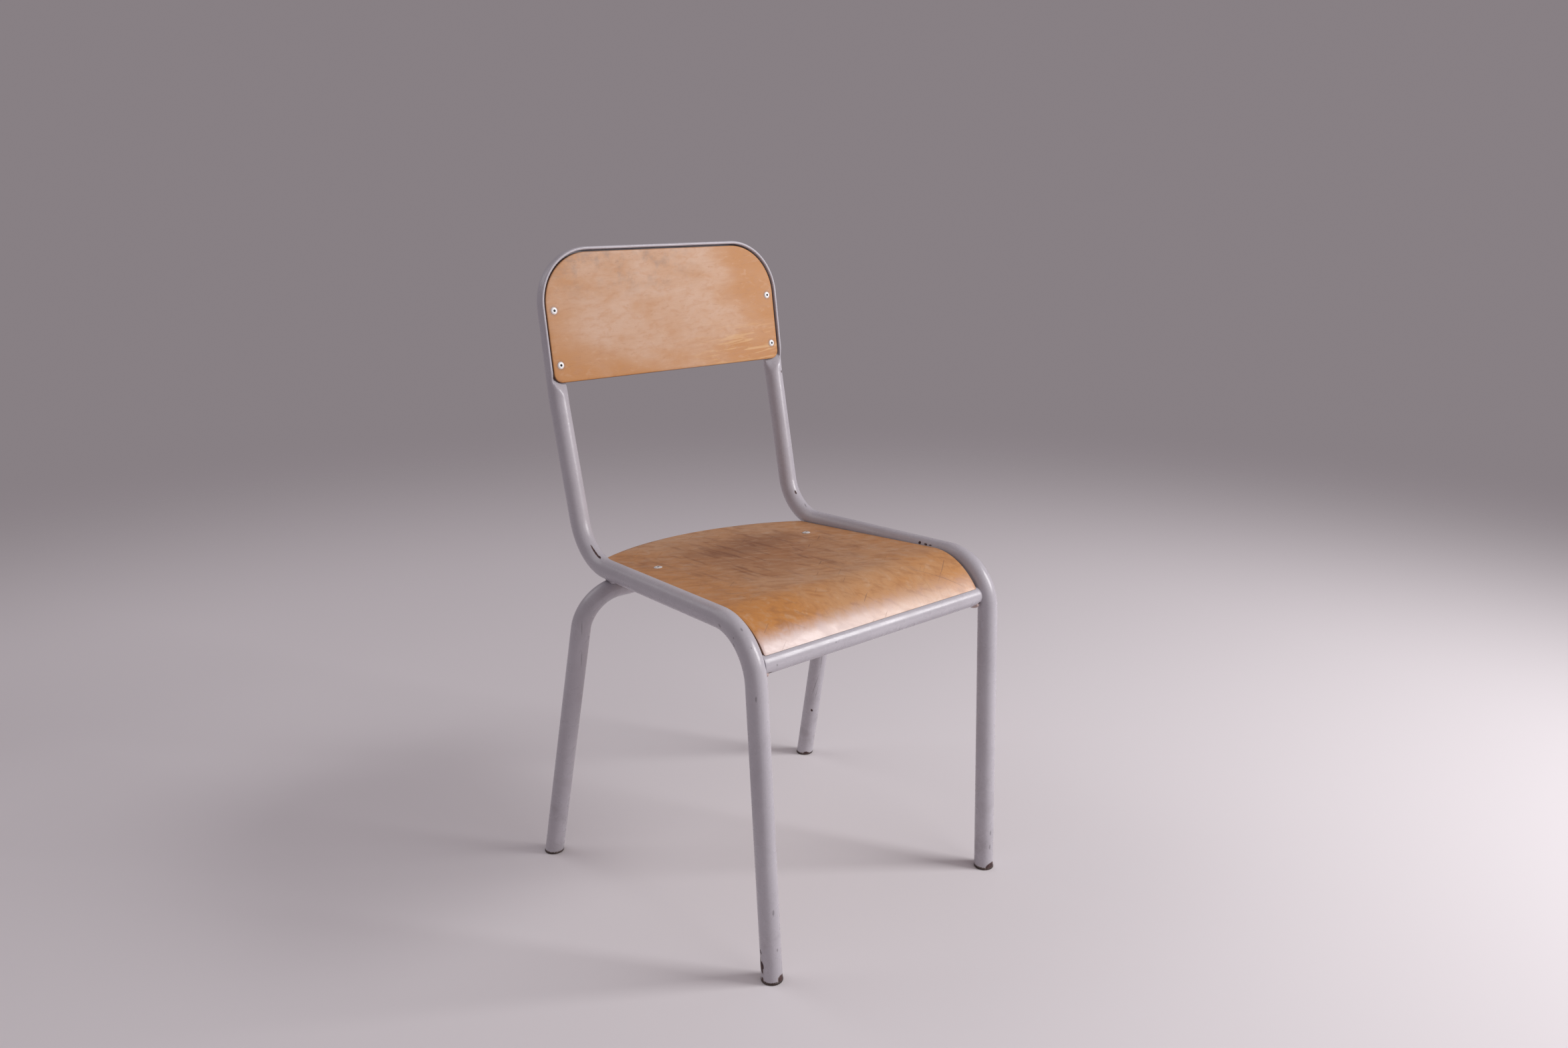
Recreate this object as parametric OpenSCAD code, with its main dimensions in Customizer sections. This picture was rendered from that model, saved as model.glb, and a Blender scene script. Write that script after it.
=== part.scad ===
// School chair: one bent steel tube for both front legs, the seat rails and the
// back, a second bent tube for the rear legs, a cross bar, and a seat and a back
// of moulded plywood held by blind rivets.
// Millimetres. X to the right, Y to the rear, Z up, with the origin on the floor
// below the middle of the chair.

/* [Tube] */
// Outside diameter of all the tubes
tube_d = 25; // [22:0.5:28]
// Wall thickness of the tubes
tube_wall = 1.5; // [1:0.1:2]

/* [Side of the main frame] */
// Half the width between the front feet
front_foot_x = 186.5; // [182:0.1:195]
// Distance of the front feet ahead of the middle
front_foot_y = 226.6; // [215:0.1:240]
// Half the width where the front legs turn into the seat rails
front_turn_x = 192.6; // [186:0.1:200]
// Distance of that turn ahead of the middle
front_turn_y = 205.9; // [200:0.1:215]
// Height of that turn
front_turn_z = 423.6; // [400:0.1:440]
// Bend radius of that turn
front_turn_r = 64; // [55:1:75]
// Half the width where the seat rails turn into the uprights
rear_turn_x = 177.1; // [172:0.1:185]
// Distance of that turn behind the middle
rear_turn_y = 155.5; // [145:0.1:165]
// Height of that turn
rear_turn_z = 415; // [400:0.1:425]
// Bend radius of that turn
rear_turn_r = 66; // [55:1:75]

/* [Back frame] */
// Half the width between the uprights at the back
back_x = 180; // [176:0.1:184]
// Distance behind the middle where the uprights take the lean of the back
back_y = 202.3; // [195:0.1:210]
// Height of that place
back_z = 629.4; // [600:0.1:640]
// Lean of the back, in degrees
back_lean = 8.43; // [6:0.01:12]
// Length of the back frame along its lean
back_len = 168.7; // [155:0.1:175]
// Bend radius of the two top corners
back_r = 62; // [55:1:68]

/* [Rear leg frame] */
// Half the width between the rear feet
rear_foot_x = 231.1; // [225:0.1:240]
// Distance of the rear feet behind the middle
rear_foot_y = 187.4; // [175:0.1:195]
// Half the width at the shoulders of the frame
shoulder_x = 215.8; // [212:0.1:222]
// Distance of the shoulders behind the middle
shoulder_y = 99.5; // [90:0.1:110]
// Bend radius of the shoulders
shoulder_r = 50.5; // [42:0.5:55]

/* [Front cross bar] */
// Length of the bar
bar_len = 356; // [350:0.5:358]
// Distance of the bar ahead of the middle
bar_y = 197; // [195:0.1:200]
// Height of the bar
bar_z = 378.3; // [376:0.1:381]

/* [Seat] */
// Thickness of the seat plywood
seat_t = 8.5; // [7:0.5:9]
// Height of the top face above the origin, carried forward along its slope
seat_z = 420.6; // [418:0.1:423]
// Rise of the seat towards the front, in degrees
seat_slope = 3.18; // [2:0.01:4]
// Distance ahead of the middle where the front edge starts to roll down
roll_y = 127.5; // [122:0.1:132]
// Outside radius of the rolled front edge
roll_r = 85; // [80:1:90]
// Gap between the seat and the rails
seat_gap = 0.8; // [0.5:0.1:2]
// Radius of the curved rear edge
seat_rear_r = 288; // [240:1:300]
// How far to the right of the centre line the middle of that curve is
seat_rear_x = -17.5; // [-20:0.5:20]
// Distance of the rear edge behind the middle
seat_rear_y = 187.9; // [175:0.1:190]
// Places of the left and right seat rivet: to the right, and behind the middle
seat_rivets = [[-128, 65], [120.5, 61]];

/* [Back panel] */
// Thickness of the back plywood
panel_t = 8; // [7:0.5:9]
// Height of the bottom edge, along the lean
panel_bottom = 11.3; // [5:0.1:20]
// Cover of the panel over the centre line of the tube
panel_cover = 6; // [5:0.1:7]
// Radius of the bottom corners
panel_r = 12; // [5:1:20]
// Half the distance between the rivets
panel_rivet_x = 175; // [172:0.5:178]
// Heights of the rivets, along the lean
panel_rivet_z = [33.7, 102.5];

/* [Small parts] */
// Diameter of the rivet shanks
rivet_d = 5; // [4:0.1:6]
// Diameter of the back rivet heads
rivet_head_d = 9.4; // [8:0.1:12]
// Diameter of the seat rivet heads
seat_head_d = 11.2; // [8:0.1:14]
// Height of the rivet heads
rivet_head_h = 1.3; // [0.8:0.1:2]
// Width of the two seat brackets
bracket_w = 25; // [15:1:30]
// Thickness of the seat brackets
bracket_t = 3; // [2:0.5:3]
// Thickness of the rim of the foot glides
glide_rim_t = 2.5; // [1.5:0.1:4]
// How far the glide rim stands out past the tube
glide_rim_out = 0.5; // [0:0.1:1]

/* [Hidden] */
$fn = 64;
tube_r = tube_d / 2;
bore_r = tube_r - tube_wall;
big = 1000;
eps = 0.01;
// bent stretches are a hair thicker than straight ones, which run into them a little
swell = 0.05;
lap = 0.4;
seam_turn = 37;

// pressed rebate in the back frame: its floor carries the panel
rebate_floor = 0.5;
rebate_gap = 2;
rim_w = tube_r - panel_cover - rebate_gap;
rim_crest = 9.6;
press_start = -3;
lean_turn = -8;
rivet_hole_d = rivet_d + 0.2;
rivet_rim_h = 0.2;
rivet_tail_d = 7;
rivet_tail_l = 5;
mandrel_d = 3;
glide_plug_l = 14;
glide_play = 0.1;
bar_shift = 1;
bar_weld_r = 2.3;
bar_weld_reach = 179.2;
rail_weld_r = 11;

// slope of the seat as a rise over run, and the height of its top face at any y
seat_rise = tan(seat_slope);
function seat_top(y) = seat_z - y * seat_rise;
// depth of a layer measured straight down
function plumb(t) = t / cos(seat_slope);
shoulder_z = seat_top(shoulder_y) - plumb(seat_t + bracket_t) - plumb(tube_r) + 0.4;

function unit(v) = v / norm(v);
function turn(a, b, c) = acos(max(-1, min(1, unit(b - a) * unit(c - b))));
function setback(p, r, i) =
    (i == 0 || i == len(p) - 1) ? 0 : r[i] * tan(turn(p[i - 1], p[i], p[i + 1]) / 2);

// a point of the back frame: x, depth behind its plane, height along its lean
function on_back(x, d, h) = [
    x,
    back_y + d * cos(back_lean) + h * sin(back_lean),
    back_z - d * sin(back_lean) + h * cos(back_lean)
];
function side_points(s) = [
    [s * front_foot_x, -front_foot_y, 0],
    [s * front_turn_x, -front_turn_y, front_turn_z],
    [s * rear_turn_x, rear_turn_y, rear_turn_z],
    on_back(s * back_x, 0, lean_turn),
    on_back(s * back_x, 0, press_start)
];
side_radii = [0, front_turn_r, rear_turn_r, 100, 0];
rear_points = [
    [-rear_foot_x, rear_foot_y, 0],
    [-shoulder_x, shoulder_y, shoulder_z],
    [shoulder_x, shoulder_y, shoulder_z],
    [rear_foot_x, rear_foot_y, 0]
];
rear_radii = [0, shoulder_r, shoulder_r, 0];

// ---- helpers ----

// turns +Z towards v, with the seam of a round bar off its steepest line
module aim(v) {
    rotate([0, acos(v[2] / norm(v)), atan2(v[1], v[0])]) rotate([0, 0, seam_turn]) children();
}

// straight round bar from a to b
module rod(a, b, r) {
    translate(a) aim(b - a) cylinder(h = norm(b - a), r = r);
}

// straight piece of tube from a to b
module pipe(a, b) {
    translate(a) aim(b - a) difference() {
        cylinder(h = norm(b - a), r = tube_r);
        translate([0, 0, -1]) cylinder(h = norm(b - a) + 2, r = bore_r);
    }
}

// round bend that leaves point p along u, turns by ang towards m
module bend(p, u, m, ang, bend_r, bore) {
    c = p + m * bend_r;
    w = cross(-m, u);
    multmatrix([
        [-m[0], u[0], w[0], c[0]],
        [-m[1], u[1], w[1], c[1]],
        [-m[2], u[2], w[2], c[2]],
        [0, 0, 0, 1]
    ])
        rotate_extrude(angle = ang) translate([bend_r, 0]) difference() {
            circle(r = tube_r + swell);
            if (bore) circle(r = bore_r - swell);
        }
}

// tube along the points p with bend radii rr, cut level just above the floor;
// without a bore it is the space that the tube fills
module bent_tube(p, rr, bore = true) {
    last = len(p) - 1;
    for (i = [0 : last - 1]) {
        u = unit(p[i + 1] - p[i]);
        low = p[i][2] == 0;
        high = p[i + 1][2] == 0;
        a = p[i] + u * (low ? -tube_d : setback(p, rr, i) - lap);
        b = p[i + 1] - u * (high ? -tube_d : setback(p, rr, i + 1) - lap);
        difference() {
            if (bore) pipe(a, b);
            else rod(a, b, tube_r);
            if (low || high) below(glide_rim_t);
        }
    }
    for (i = [1 : last - 1]) {
        u = unit(p[i] - p[i - 1]);
        v = unit(p[i + 1] - p[i]);
        bend(p[i] - u * setback(p, rr, i), u, unit(v - (v * u) * u),
            turn(p[i - 1], p[i], p[i + 1]), rr[i], bore);
    }
}

// everything below height h
module below(h) {
    translate([-big / 2, -big / 2, h - 100]) cube([big, big, 100]);
}

// stands its children on the plane of the back frame: x, height, forward
module back_plane() {
    translate([0, back_y, back_z]) rotate([90 - back_lean, 0, 0]) children();
}

// outline of the back, grown by g at the sides and top, from height h0 up
module back_outline(g, h0, low_r) {
    w = back_x + panel_cover + g;
    top = back_len + panel_cover + g;
    high_r = back_r + panel_cover + g;
    square_w = w - high_r;
    translate([-w, h0 + low_r]) square([2 * w, top - high_r - h0 - low_r]);
    translate([-square_w, h0]) square([2 * square_w, top - h0]);
    translate([-(w - low_r), h0]) square([2 * (w - low_r), low_r + eps]);
    for (s = [-1, 1]) {
        translate([s * square_w, top - high_r]) circle(r = high_r);
        translate([s * (w - low_r), h0 + low_r]) circle(r = low_r);
    }
}

// section of the pressed tube: x away from the panel, y forward. The inner side
// is pushed back to a ledge, the outer side is folded up into a rim.
module pressed_section() {
    inner = tube_r - rim_w;
    difference() {
        union() {
            circle(r = tube_r + swell);
            translate([inner, 0]) square([rim_w, rim_crest - rim_w / 2]);
            translate([tube_r - rim_w / 2, rim_crest - rim_w / 2]) circle(d = rim_w);
        }
        translate([inner - big, -rebate_floor]) square(big);
        intersection() {
            circle(r = bore_r - swell);
            translate([-tube_d, -tube_d - rebate_floor - tube_wall]) square([2 * tube_d, tube_d]);
        }
    }
}

// the pressed tube up one side and round its corner, with the rivet holes
module pressed_side() {
    corner_h = back_len - back_r;
    back_plane() {
        difference() {
            translate([back_x, corner_h, 0]) rotate([90, 0, 0])
                linear_extrude(height = corner_h - press_start) pressed_section();
            for (h = panel_rivet_z)
                translate([panel_rivet_x, h, -rebate_floor - 2 * tube_wall])
                    cylinder(h = tube_r, d = rivet_hole_d);
        }
        translate([back_x - back_r, corner_h, 0])
            rotate_extrude(angle = 90) translate([back_r, 0]) pressed_section();
    }
}

// ---- tubes ----

// bent tube for the front legs, the rails and the back, pressed where the panel sits
module main_frame() {
    top_w = back_x - back_r;
    color([0.66, 0.65, 0.68]) {
        for (s = [-1, 1]) bent_tube(side_points(s), side_radii);
        pressed_side();
        mirror([1, 0, 0]) pressed_side();
        back_plane() translate([-top_w, back_len, 0]) rotate([90, 0, 90])
            linear_extrude(height = 2 * top_w) pressed_section();
    }
}

// bent tube for the rear legs
module rear_leg_frame() {
    color([0.64, 0.63, 0.66]) bent_tube(rear_points, rear_radii);
}

// cross bar under the front edge of the seat
module front_cross_bar() {
    color([0.68, 0.67, 0.7])
    translate([bar_shift, -bar_y, bar_z]) rotate([0, 90, 0]) difference() {
        cylinder(h = bar_len, r = tube_r, center = true);
        cylinder(h = bar_len + 2, r = bore_r, center = true);
    }
}

// ---- plywood ----

// side view of the seat: a flat part and a rolled front, x here is forward
module seat_profile() {
    s = sin(seat_slope);
    c = cos(seat_slope);
    top = seat_top(-roll_y);
    rear_len = roll_y + seat_rear_y + 10;
    centre = [roll_y + roll_r * s, top - roll_r * c];
    reach = 2 * roll_r;
    translate([roll_y, top]) rotate(seat_slope)
        translate([-rear_len, -seat_t]) square([rear_len, seat_t]);
    intersection() {
        translate(centre) difference() {
            circle(r = roll_r, $fn = 128);
            circle(r = roll_r - seat_t, $fn = 128);
        }
        translate(centre) rotate(seat_slope)
            polygon([[0, 0], [0, reach], [reach, reach], [reach, 0]]);
    }
}

// plan of the seat: straight sides beside the rails and a curved rear edge
module seat_plan() {
    spread = (front_turn_x - rear_turn_x) / (front_turn_y + rear_turn_y);
    function side(y) = front_turn_x - spread * (y + front_turn_y) - tube_r - seat_gap;
    front = -front_turn_y - 10;
    rear = seat_rear_y + 5;
    intersection() {
        polygon([[-side(front), front], [side(front), front], [side(rear), rear], [-side(rear), rear]]);
        union() {
            translate([seat_rear_x, seat_rear_y - seat_rear_r]) circle(r = seat_rear_r, $fn = 128);
            translate([-big / 2, -big]) square([big, big]);
        }
    }
}

// moulded plywood seat, scooped at the front to sit on the cross bar
module seat_panel() {
    color([0.72, 0.5, 0.33])
    difference() {
        intersection() {
            rotate([90, 0, -90]) translate([0, 0, -big / 2])
                linear_extrude(height = big) seat_profile();
            linear_extrude(height = 2 * seat_z) seat_plan();
        }
        rod([-big / 2, -bar_y, bar_z], [big / 2, -bar_y, bar_z], tube_r);
        translate([-big / 2, -bar_y - roll_r, 0]) cube([big, 2 * roll_r, bar_z + tube_r / 2]);
        for (s = [-1, 1])
            seat_rivet_place(s) cylinder(h = 4 * seat_t, d = rivet_hole_d, center = true);
    }
}

// flat plywood back with large top corners
module back_panel() {
    color([0.74, 0.53, 0.37])
    difference() {
        back_plane() translate([0, 0, -rebate_floor])
            linear_extrude(height = panel_t) back_outline(0, panel_bottom, panel_r);
        for (s = [-1, 1], h = panel_rivet_z)
            back_plane() translate([s * panel_rivet_x, h, -tube_r / 2])
                cylinder(h = tube_d, d = rivet_hole_d);
    }
}

// ---- small parts ----

// the top face of the seat at a rivet, with +Z square to the plywood
module seat_rivet_place(s) {
    p = seat_rivets[s < 0 ? 0 : 1];
    translate([p[0], p[1], seat_top(p[1])]) rotate([-seat_slope, 0, 0]) children();
}

// blind rivet: a domed ring head with a thin upright rim, a shank through grip,
// and the tail behind it
module blind_rivet(grip, head_d) {
    rise = rivet_head_h - rivet_rim_h;
    dome_r = (rise * rise + head_d * head_d / 4) / (2 * rise);
    difference() {
        union() {
            intersection() {
                translate([0, 0, rivet_head_h - dome_r]) sphere(r = dome_r, $fn = 96);
                cylinder(h = rivet_head_h, d = head_d);
            }
            translate([0, 0, -grip - rivet_tail_l]) cylinder(h = grip + rivet_tail_l + eps, d = rivet_d);
            translate([0, 0, -grip - rivet_tail_l]) cylinder(h = rivet_tail_l, d = rivet_tail_d);
        }
        translate([0, 0, -grip]) cylinder(h = grip + 2 * rivet_head_h, d = mandrel_d);
    }
}

module seat_rivet(s) {
    color([0.75, 0.74, 0.73]) seat_rivet_place(s) blind_rivet(seat_t + bracket_t, seat_head_d);
}

module back_rivet(s, h) {
    color([0.92, 0.91, 0.9])
    back_plane() translate([s * panel_rivet_x, h, panel_t - rebate_floor])
        blind_rivet(panel_t + tube_wall, rivet_head_d);
}

// flat steel tab welded on the rear leg frame, under the seat
module seat_bracket(s) {
    ahead = 12;
    length = shoulder_y - seat_rivets[s < 0 ? 0 : 1][1] + ahead + tube_r / 2;
    color([0.6, 0.59, 0.62])
    difference() {
        seat_rivet_place(s) difference() {
            translate([-bracket_w / 2, -ahead, -seat_t - bracket_t]) cube([bracket_w, length, bracket_t]);
            cylinder(h = 4 * seat_t, d = rivet_hole_d, center = true);
        }
        rod([-shoulder_x, shoulder_y, shoulder_z], [shoulder_x, shoulder_y, shoulder_z], tube_r);
    }
}

// weld bead round the lower front of one end of the cross bar, against the front leg
module bar_weld(s) {
    color([0.6, 0.58, 0.6])
    difference() {
        translate([s * (bar_weld_reach - bar_weld_r), -bar_y, bar_z]) rotate([0, 90, 0]) rotate([0, 0, -80])
            rotate_extrude(angle = 105) translate([tube_r - 0.3, 0]) circle(r = bar_weld_r);
        translate([bar_shift - bar_len / 2, -bar_y, bar_z]) rotate([0, 90, 0])
            cylinder(h = bar_len, r = tube_r);
    }
}

// weld collar that ties a seat rail to the rear leg frame below it
module rail_weld(s) {
    place = (rear_turn_y - shoulder_y) / (rear_turn_y + front_turn_y);
    rail_x = rear_turn_x + place * (front_turn_x - rear_turn_x);
    rail_z = rear_turn_z + place * (front_turn_z - rear_turn_z);
    color([0.6, 0.58, 0.6])
    difference() {
        translate([s * rail_x, shoulder_y, rail_z - tube_r - 1]) sphere(r = rail_weld_r);
        rod(side_points(s)[1], side_points(s)[2], tube_r + swell);
        bent_tube([for (q = rear_points) if (q[0] * s > 0 || q[2] > 0) q], rear_radii, false);
    }
}

// foot glide: a plug in the tube and a rim that stands on the floor
module foot_glide(foot, above) {
    u = unit(above - foot);
    color([0.16, 0.12, 0.1]) {
        intersection() {
            rod(foot - u * tube_d, foot + u * tube_d, tube_r + glide_rim_out);
            translate([-big / 2, -big / 2, 0]) cube([big, big, glide_rim_t]);
        }
        difference() {
            rod(foot - u * tube_d, foot + u * glide_plug_l, bore_r - glide_play);
            below(glide_rim_t - eps);
        }
    }
}

main_frame();
rear_leg_frame();
front_cross_bar();
seat_panel();
back_panel();
seat_bracket(-1);  // seat_bracket_left
seat_bracket(1);  // seat_bracket_right
bar_weld(-1);  // bar_weld_left
bar_weld(1);  // bar_weld_right
rail_weld(-1);  // rail_weld_left
rail_weld(1);  // rail_weld_right
seat_rivet(-1);  // seat_rivet_left
seat_rivet(1);  // seat_rivet_right
back_rivet(-1, panel_rivet_z[0]);  // back_rivet_lower_left
back_rivet(1, panel_rivet_z[0]);  // back_rivet_lower_right
back_rivet(-1, panel_rivet_z[1]);  // back_rivet_upper_left
back_rivet(1, panel_rivet_z[1]);  // back_rivet_upper_right
foot_glide(side_points(-1)[0], side_points(-1)[1]);  // foot_glide_front_left
foot_glide(side_points(1)[0], side_points(1)[1]);  // foot_glide_front_right
foot_glide(rear_points[0], rear_points[1]);  // foot_glide_rear_left
foot_glide(rear_points[3], rear_points[2]);  // foot_glide_rear_right
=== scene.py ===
import bpy
import numpy as np
from mathutils import Euler, Matrix, Vector


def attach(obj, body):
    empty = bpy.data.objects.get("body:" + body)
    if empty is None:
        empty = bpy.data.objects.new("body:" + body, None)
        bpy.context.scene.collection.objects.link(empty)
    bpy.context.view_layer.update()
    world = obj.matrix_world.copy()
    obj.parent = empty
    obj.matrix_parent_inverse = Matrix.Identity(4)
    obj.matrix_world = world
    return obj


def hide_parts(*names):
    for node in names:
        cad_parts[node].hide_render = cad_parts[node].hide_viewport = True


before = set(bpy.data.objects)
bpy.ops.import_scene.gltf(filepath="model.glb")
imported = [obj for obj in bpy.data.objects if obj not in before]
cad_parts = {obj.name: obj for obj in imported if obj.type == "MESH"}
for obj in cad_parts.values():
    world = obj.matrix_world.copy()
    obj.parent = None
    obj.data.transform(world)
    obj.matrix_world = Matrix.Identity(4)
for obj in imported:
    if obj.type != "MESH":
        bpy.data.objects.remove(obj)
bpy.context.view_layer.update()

# ---- Floor, light and camera ----
# Not part of the chair: a plain pale floor that ends softly in an even grey room,
# two window panes of light to the front right, and weak room light in front and behind.


class Finish:
    """A material made of nodes. Each method adds one node and gives back its
    result; a number, a colour or another node's result may be passed in alike."""

    def __init__(self, name):
        self.material = bpy.data.materials.new(name)
        self.material.use_nodes = True
        self.tree = self.material.node_tree
        self.shader = self.tree.nodes["Principled BSDF"]

    def feed(self, socket, value):
        """Joins another node's result to a socket, or sets the socket's own value."""
        if isinstance(value, bpy.types.NodeSocket):
            self.tree.links.new(value, socket)
        elif isinstance(value, tuple) and socket.type == "RGBA":
            socket.default_value = (*value, 1)
        else:
            socket.default_value = value

    def add(self, kind, out, inputs, **settings):
        """One node with its settings and inputs, and the result that is called out."""
        node = self.tree.nodes.new("ShaderNode" + kind)
        for name, value in settings.items():
            setattr(node, name, value)
        for name, value in inputs.items():
            self.feed(node.inputs[name], value)
        return node.outputs[out]

    def place(self, scale=(1, 1, 1), turn=(0, 0, 0), source="Object"):
        """Coordinates on the piece, in metres: turned first, and then multiplied by scale."""
        inputs = {
            "Vector": self.add("TexCoord", source, {}),
            "Rotation": turn,
            "Scale": tuple(1 / k for k in scale),
        }
        return self.add("Mapping", 0, inputs, vector_type="TEXTURE")

    def part(self, axis, source="Object"):
        """One of the piece's own coordinates, in metres."""
        return self.add("SeparateXYZ", axis, {0: self.add("TexCoord", source, {})})

    def noise(self, where, scale, detail=3.0, rough=0.5, warp=0.0):
        """Cloudy values from 0 to 1 about 0.5, with scale clouds to a metre."""
        inputs = {
            "Vector": where,
            "Scale": scale,
            "Detail": detail,
            "Roughness": rough,
            "Distortion": warp,
        }
        return self.add("TexNoise", 0, inputs)

    def step(self, value, low, high, to_low=0.0, to_high=1.0):
        """Smooth step from to_low to to_high as value goes from low to high."""
        inputs = {
            "Value": value,
            "From Min": low,
            "From Max": high,
            "To Min": to_low,
            "To Max": to_high,
        }
        return self.add("MapRange", 0, inputs, interpolation_type="SMOOTHSTEP")

    def calc(self, how, a, b=0.0):
        """One sum on a, or on a and b."""
        return self.add("Math", 0, {0: a, 1: b}, operation=how)

    def plus(self, a, b):
        return self.calc("ADD", a, b)

    def minus(self, a, b):
        return self.calc("SUBTRACT", a, b)

    def times(self, a, b):
        return self.calc("MULTIPLY", a, b)

    def highest(self, a, b):
        return self.calc("MAXIMUM", a, b)

    def about(self, value, middle, gain):
        """How far a value is above middle, times gain."""
        return self.times(self.minus(value, middle), gain)

    def spread(self, x, y, middle, reach):
        """Distance of x, y from a middle in the plane, where reach is 1 away both ways."""
        across = self.calc("DIVIDE", self.minus(x, middle[0]), reach[0])
        along = self.calc("DIVIDE", self.minus(y, middle[1]), reach[1])
        squares = self.plus(self.calc("POWER", across, 2.0), self.calc("POWER", along, 2.0))
        return self.calc("SQRT", squares)

    def mix(self, share, a, b):
        """Colour a, with a share of it replaced by colour b."""
        return self.add("Mix", 2, {0: share, 6: a, 7: b}, data_type="RGBA")

    def kept(self, name):
        """A value kept in the mesh at each point."""
        return self.add("Attribute", "Fac", {}, attribute_name=name)

    def bump(self, height, depth, under=None):
        """A surface raised by height times depth, in metres, over the bumps under it."""
        inputs = {"Height": height, "Distance": depth, "Strength": 1.0}
        if under is not None:
            inputs["Normal"] = under
        return self.add("Bump", 0, inputs)

    def use(self, **values):
        """Feeds the material's shader, each value to the socket that it is named for."""
        for name, value in values.items():
            self.feed(self.shader.inputs[name.replace("_", " ")], value)


ring, turn = np.meshgrid(
    [0.01, 0.8, 1.6, 2.4, 3.2, 4.0], np.linspace(0, 2 * np.pi, 96, endpoint=False), indexing="ij"
)
floor_points = np.stack([ring * np.cos(turn), ring * np.sin(turn), 0 * ring], -1)
corner = np.arange(ring.size).reshape(ring.shape)
floor_quads = np.stack(
    [corner[:-1], corner[1:], np.roll(corner[1:], -1, 1), np.roll(corner[:-1], -1, 1)], -1
).reshape(-1, 4)
floor_mesh = bpy.data.meshes.new("floor")
floor_faces = [corner[0].tolist()] + floor_quads.tolist()
floor_mesh.from_pydata(floor_points.reshape(-1, 3).tolist(), [], floor_faces)
floor = bpy.data.objects.new("floor", floor_mesh)
bpy.context.scene.collection.objects.link(floor)
floor_paint = Finish("floor_paint")
away = floor_paint.add("VectorMath", "Value", {0: floor_paint.place()}, operation="LENGTH")
floor_paint.use(
    Base_Color=(0.83, 0.795, 0.815),
    Roughness=0.7,
    Specular_IOR_Level=0.2,
    Alpha=floor_paint.step(away, 1.3, 3.4, 1.0, 0.0),
)
floor_mesh.materials.append(floor_paint.material)

world = bpy.data.worlds.new("room")
world.use_nodes = True
world.node_tree.nodes["Background"].inputs[0].default_value = (0.245, 0.215, 0.23, 1)
bpy.context.scene.world = world


def lamp(name, place, aim, size, power, tint):
    """A rectangular lamp at place, pointed at aim."""
    data = bpy.data.lights.new(name, "AREA")
    data.shape = "RECTANGLE"
    data.size, data.size_y = size
    data.energy = power
    data.color = tint
    made = bpy.data.objects.new(name, data)
    made.location = place
    made.rotation_euler = (Vector(aim) - Vector(place)).to_track_quat("-Z", "Y").to_euler()
    bpy.context.scene.collection.objects.link(made)


CHAIR_MIDDLE = (0, 0, 0.45)
PANE = (0.95, 0.6)
lamp("window_upper", (1.57, -1.78, 2.08), CHAIR_MIDDLE, PANE, 27, (1.0, 0.985, 0.99))
lamp("window_lower", (1.57, -1.78, 1.30), CHAIR_MIDDLE, PANE, 21, (1.0, 0.985, 0.99))
lamp("room_light_front", (0.5, -2.6, 2.0), CHAIR_MIDDLE, (1.6, 1.6), 10, (1.0, 0.98, 0.985))
lamp("room_light_behind", (-1.2, 1.6, 2.3), CHAIR_MIDDLE, (1.8, 1.8), 12, (0.99, 0.98, 1.0))

camera = bpy.data.objects.new("camera", bpy.data.cameras.new("camera"))
camera.data.lens = 27.797
camera.data.sensor_width = 36
camera.location = (-0.9615, -1.1524, 0.8823)
facing = Euler(np.radians([90 - 15.559, 0, -40.630])).to_matrix()
facing = facing @ Matrix.Rotation(np.radians(-0.093), 3, "Z")
camera.rotation_euler = facing.to_euler()
bpy.context.scene.collection.objects.link(camera)
bpy.context.scene.camera = camera

bpy.context.scene.view_settings.view_transform = "Standard"

# ---- Main frame ----
# One 25 mm steel tube, bent from the left front foot over the seat rail and
# round the back to the right front foot, then sprayed grey. Where the back panel
# sits, the front of the tube is pressed in to a ledge with a rim outside it.

TUBE_R = 0.0125
RING_STEP = 0.0026
FRONT_FOOT = (0.1865, -0.2266)
FRONT_BEND = (0.1926, -0.2059, 0.4236)
REAR_BEND = (0.1771, 0.1555, 0.415)
FOOT_END = 0.0025
LEAN = np.radians(8.43)
BACK_Y = 0.2023
BACK_Z = 0.6294
BACK_X = 0.18
BACK_FOOT = -0.008
BACK_TOP = 0.1687
BACK_R = 0.062
LEDGE = -0.0005


def on_back(x, forward, height):
    """Points of the leaning plane of the back: across, in front of the plane, up along its lean."""
    x, forward, height = np.broadcast_arrays(x, forward, height)
    return np.stack(
        [
            x,
            BACK_Y - forward * np.cos(LEAN) + height * np.sin(LEAN),
            BACK_Z + forward * np.sin(LEAN) + height * np.cos(LEAN),
        ],
        -1,
    )


def back_height(points):
    """How far up the lean of the back points are."""
    return (points[..., 1] - BACK_Y) * np.sin(LEAN) + (points[..., 2] - BACK_Z) * np.cos(LEAN)


def unit(v):
    """Each vector divided by its length."""
    return v / np.linalg.norm(v, axis=-1, keepdims=True)


def smooth(value, low, high):
    """3t^2 - 2t^3 with t the value's place between low and high, held between 0 and 1."""
    t = np.clip((value - low) / (high - low), 0, 1)
    return t * t * (3 - 2 * t)


def both_sides(half):
    """The corners of a whole tube from those of its right half, foot first: the left
    half is the mirror of the right one, and the right one follows backwards."""
    half = np.array(half)
    return np.concatenate([half * [-1, 1, 1], half[::-1]])


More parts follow.
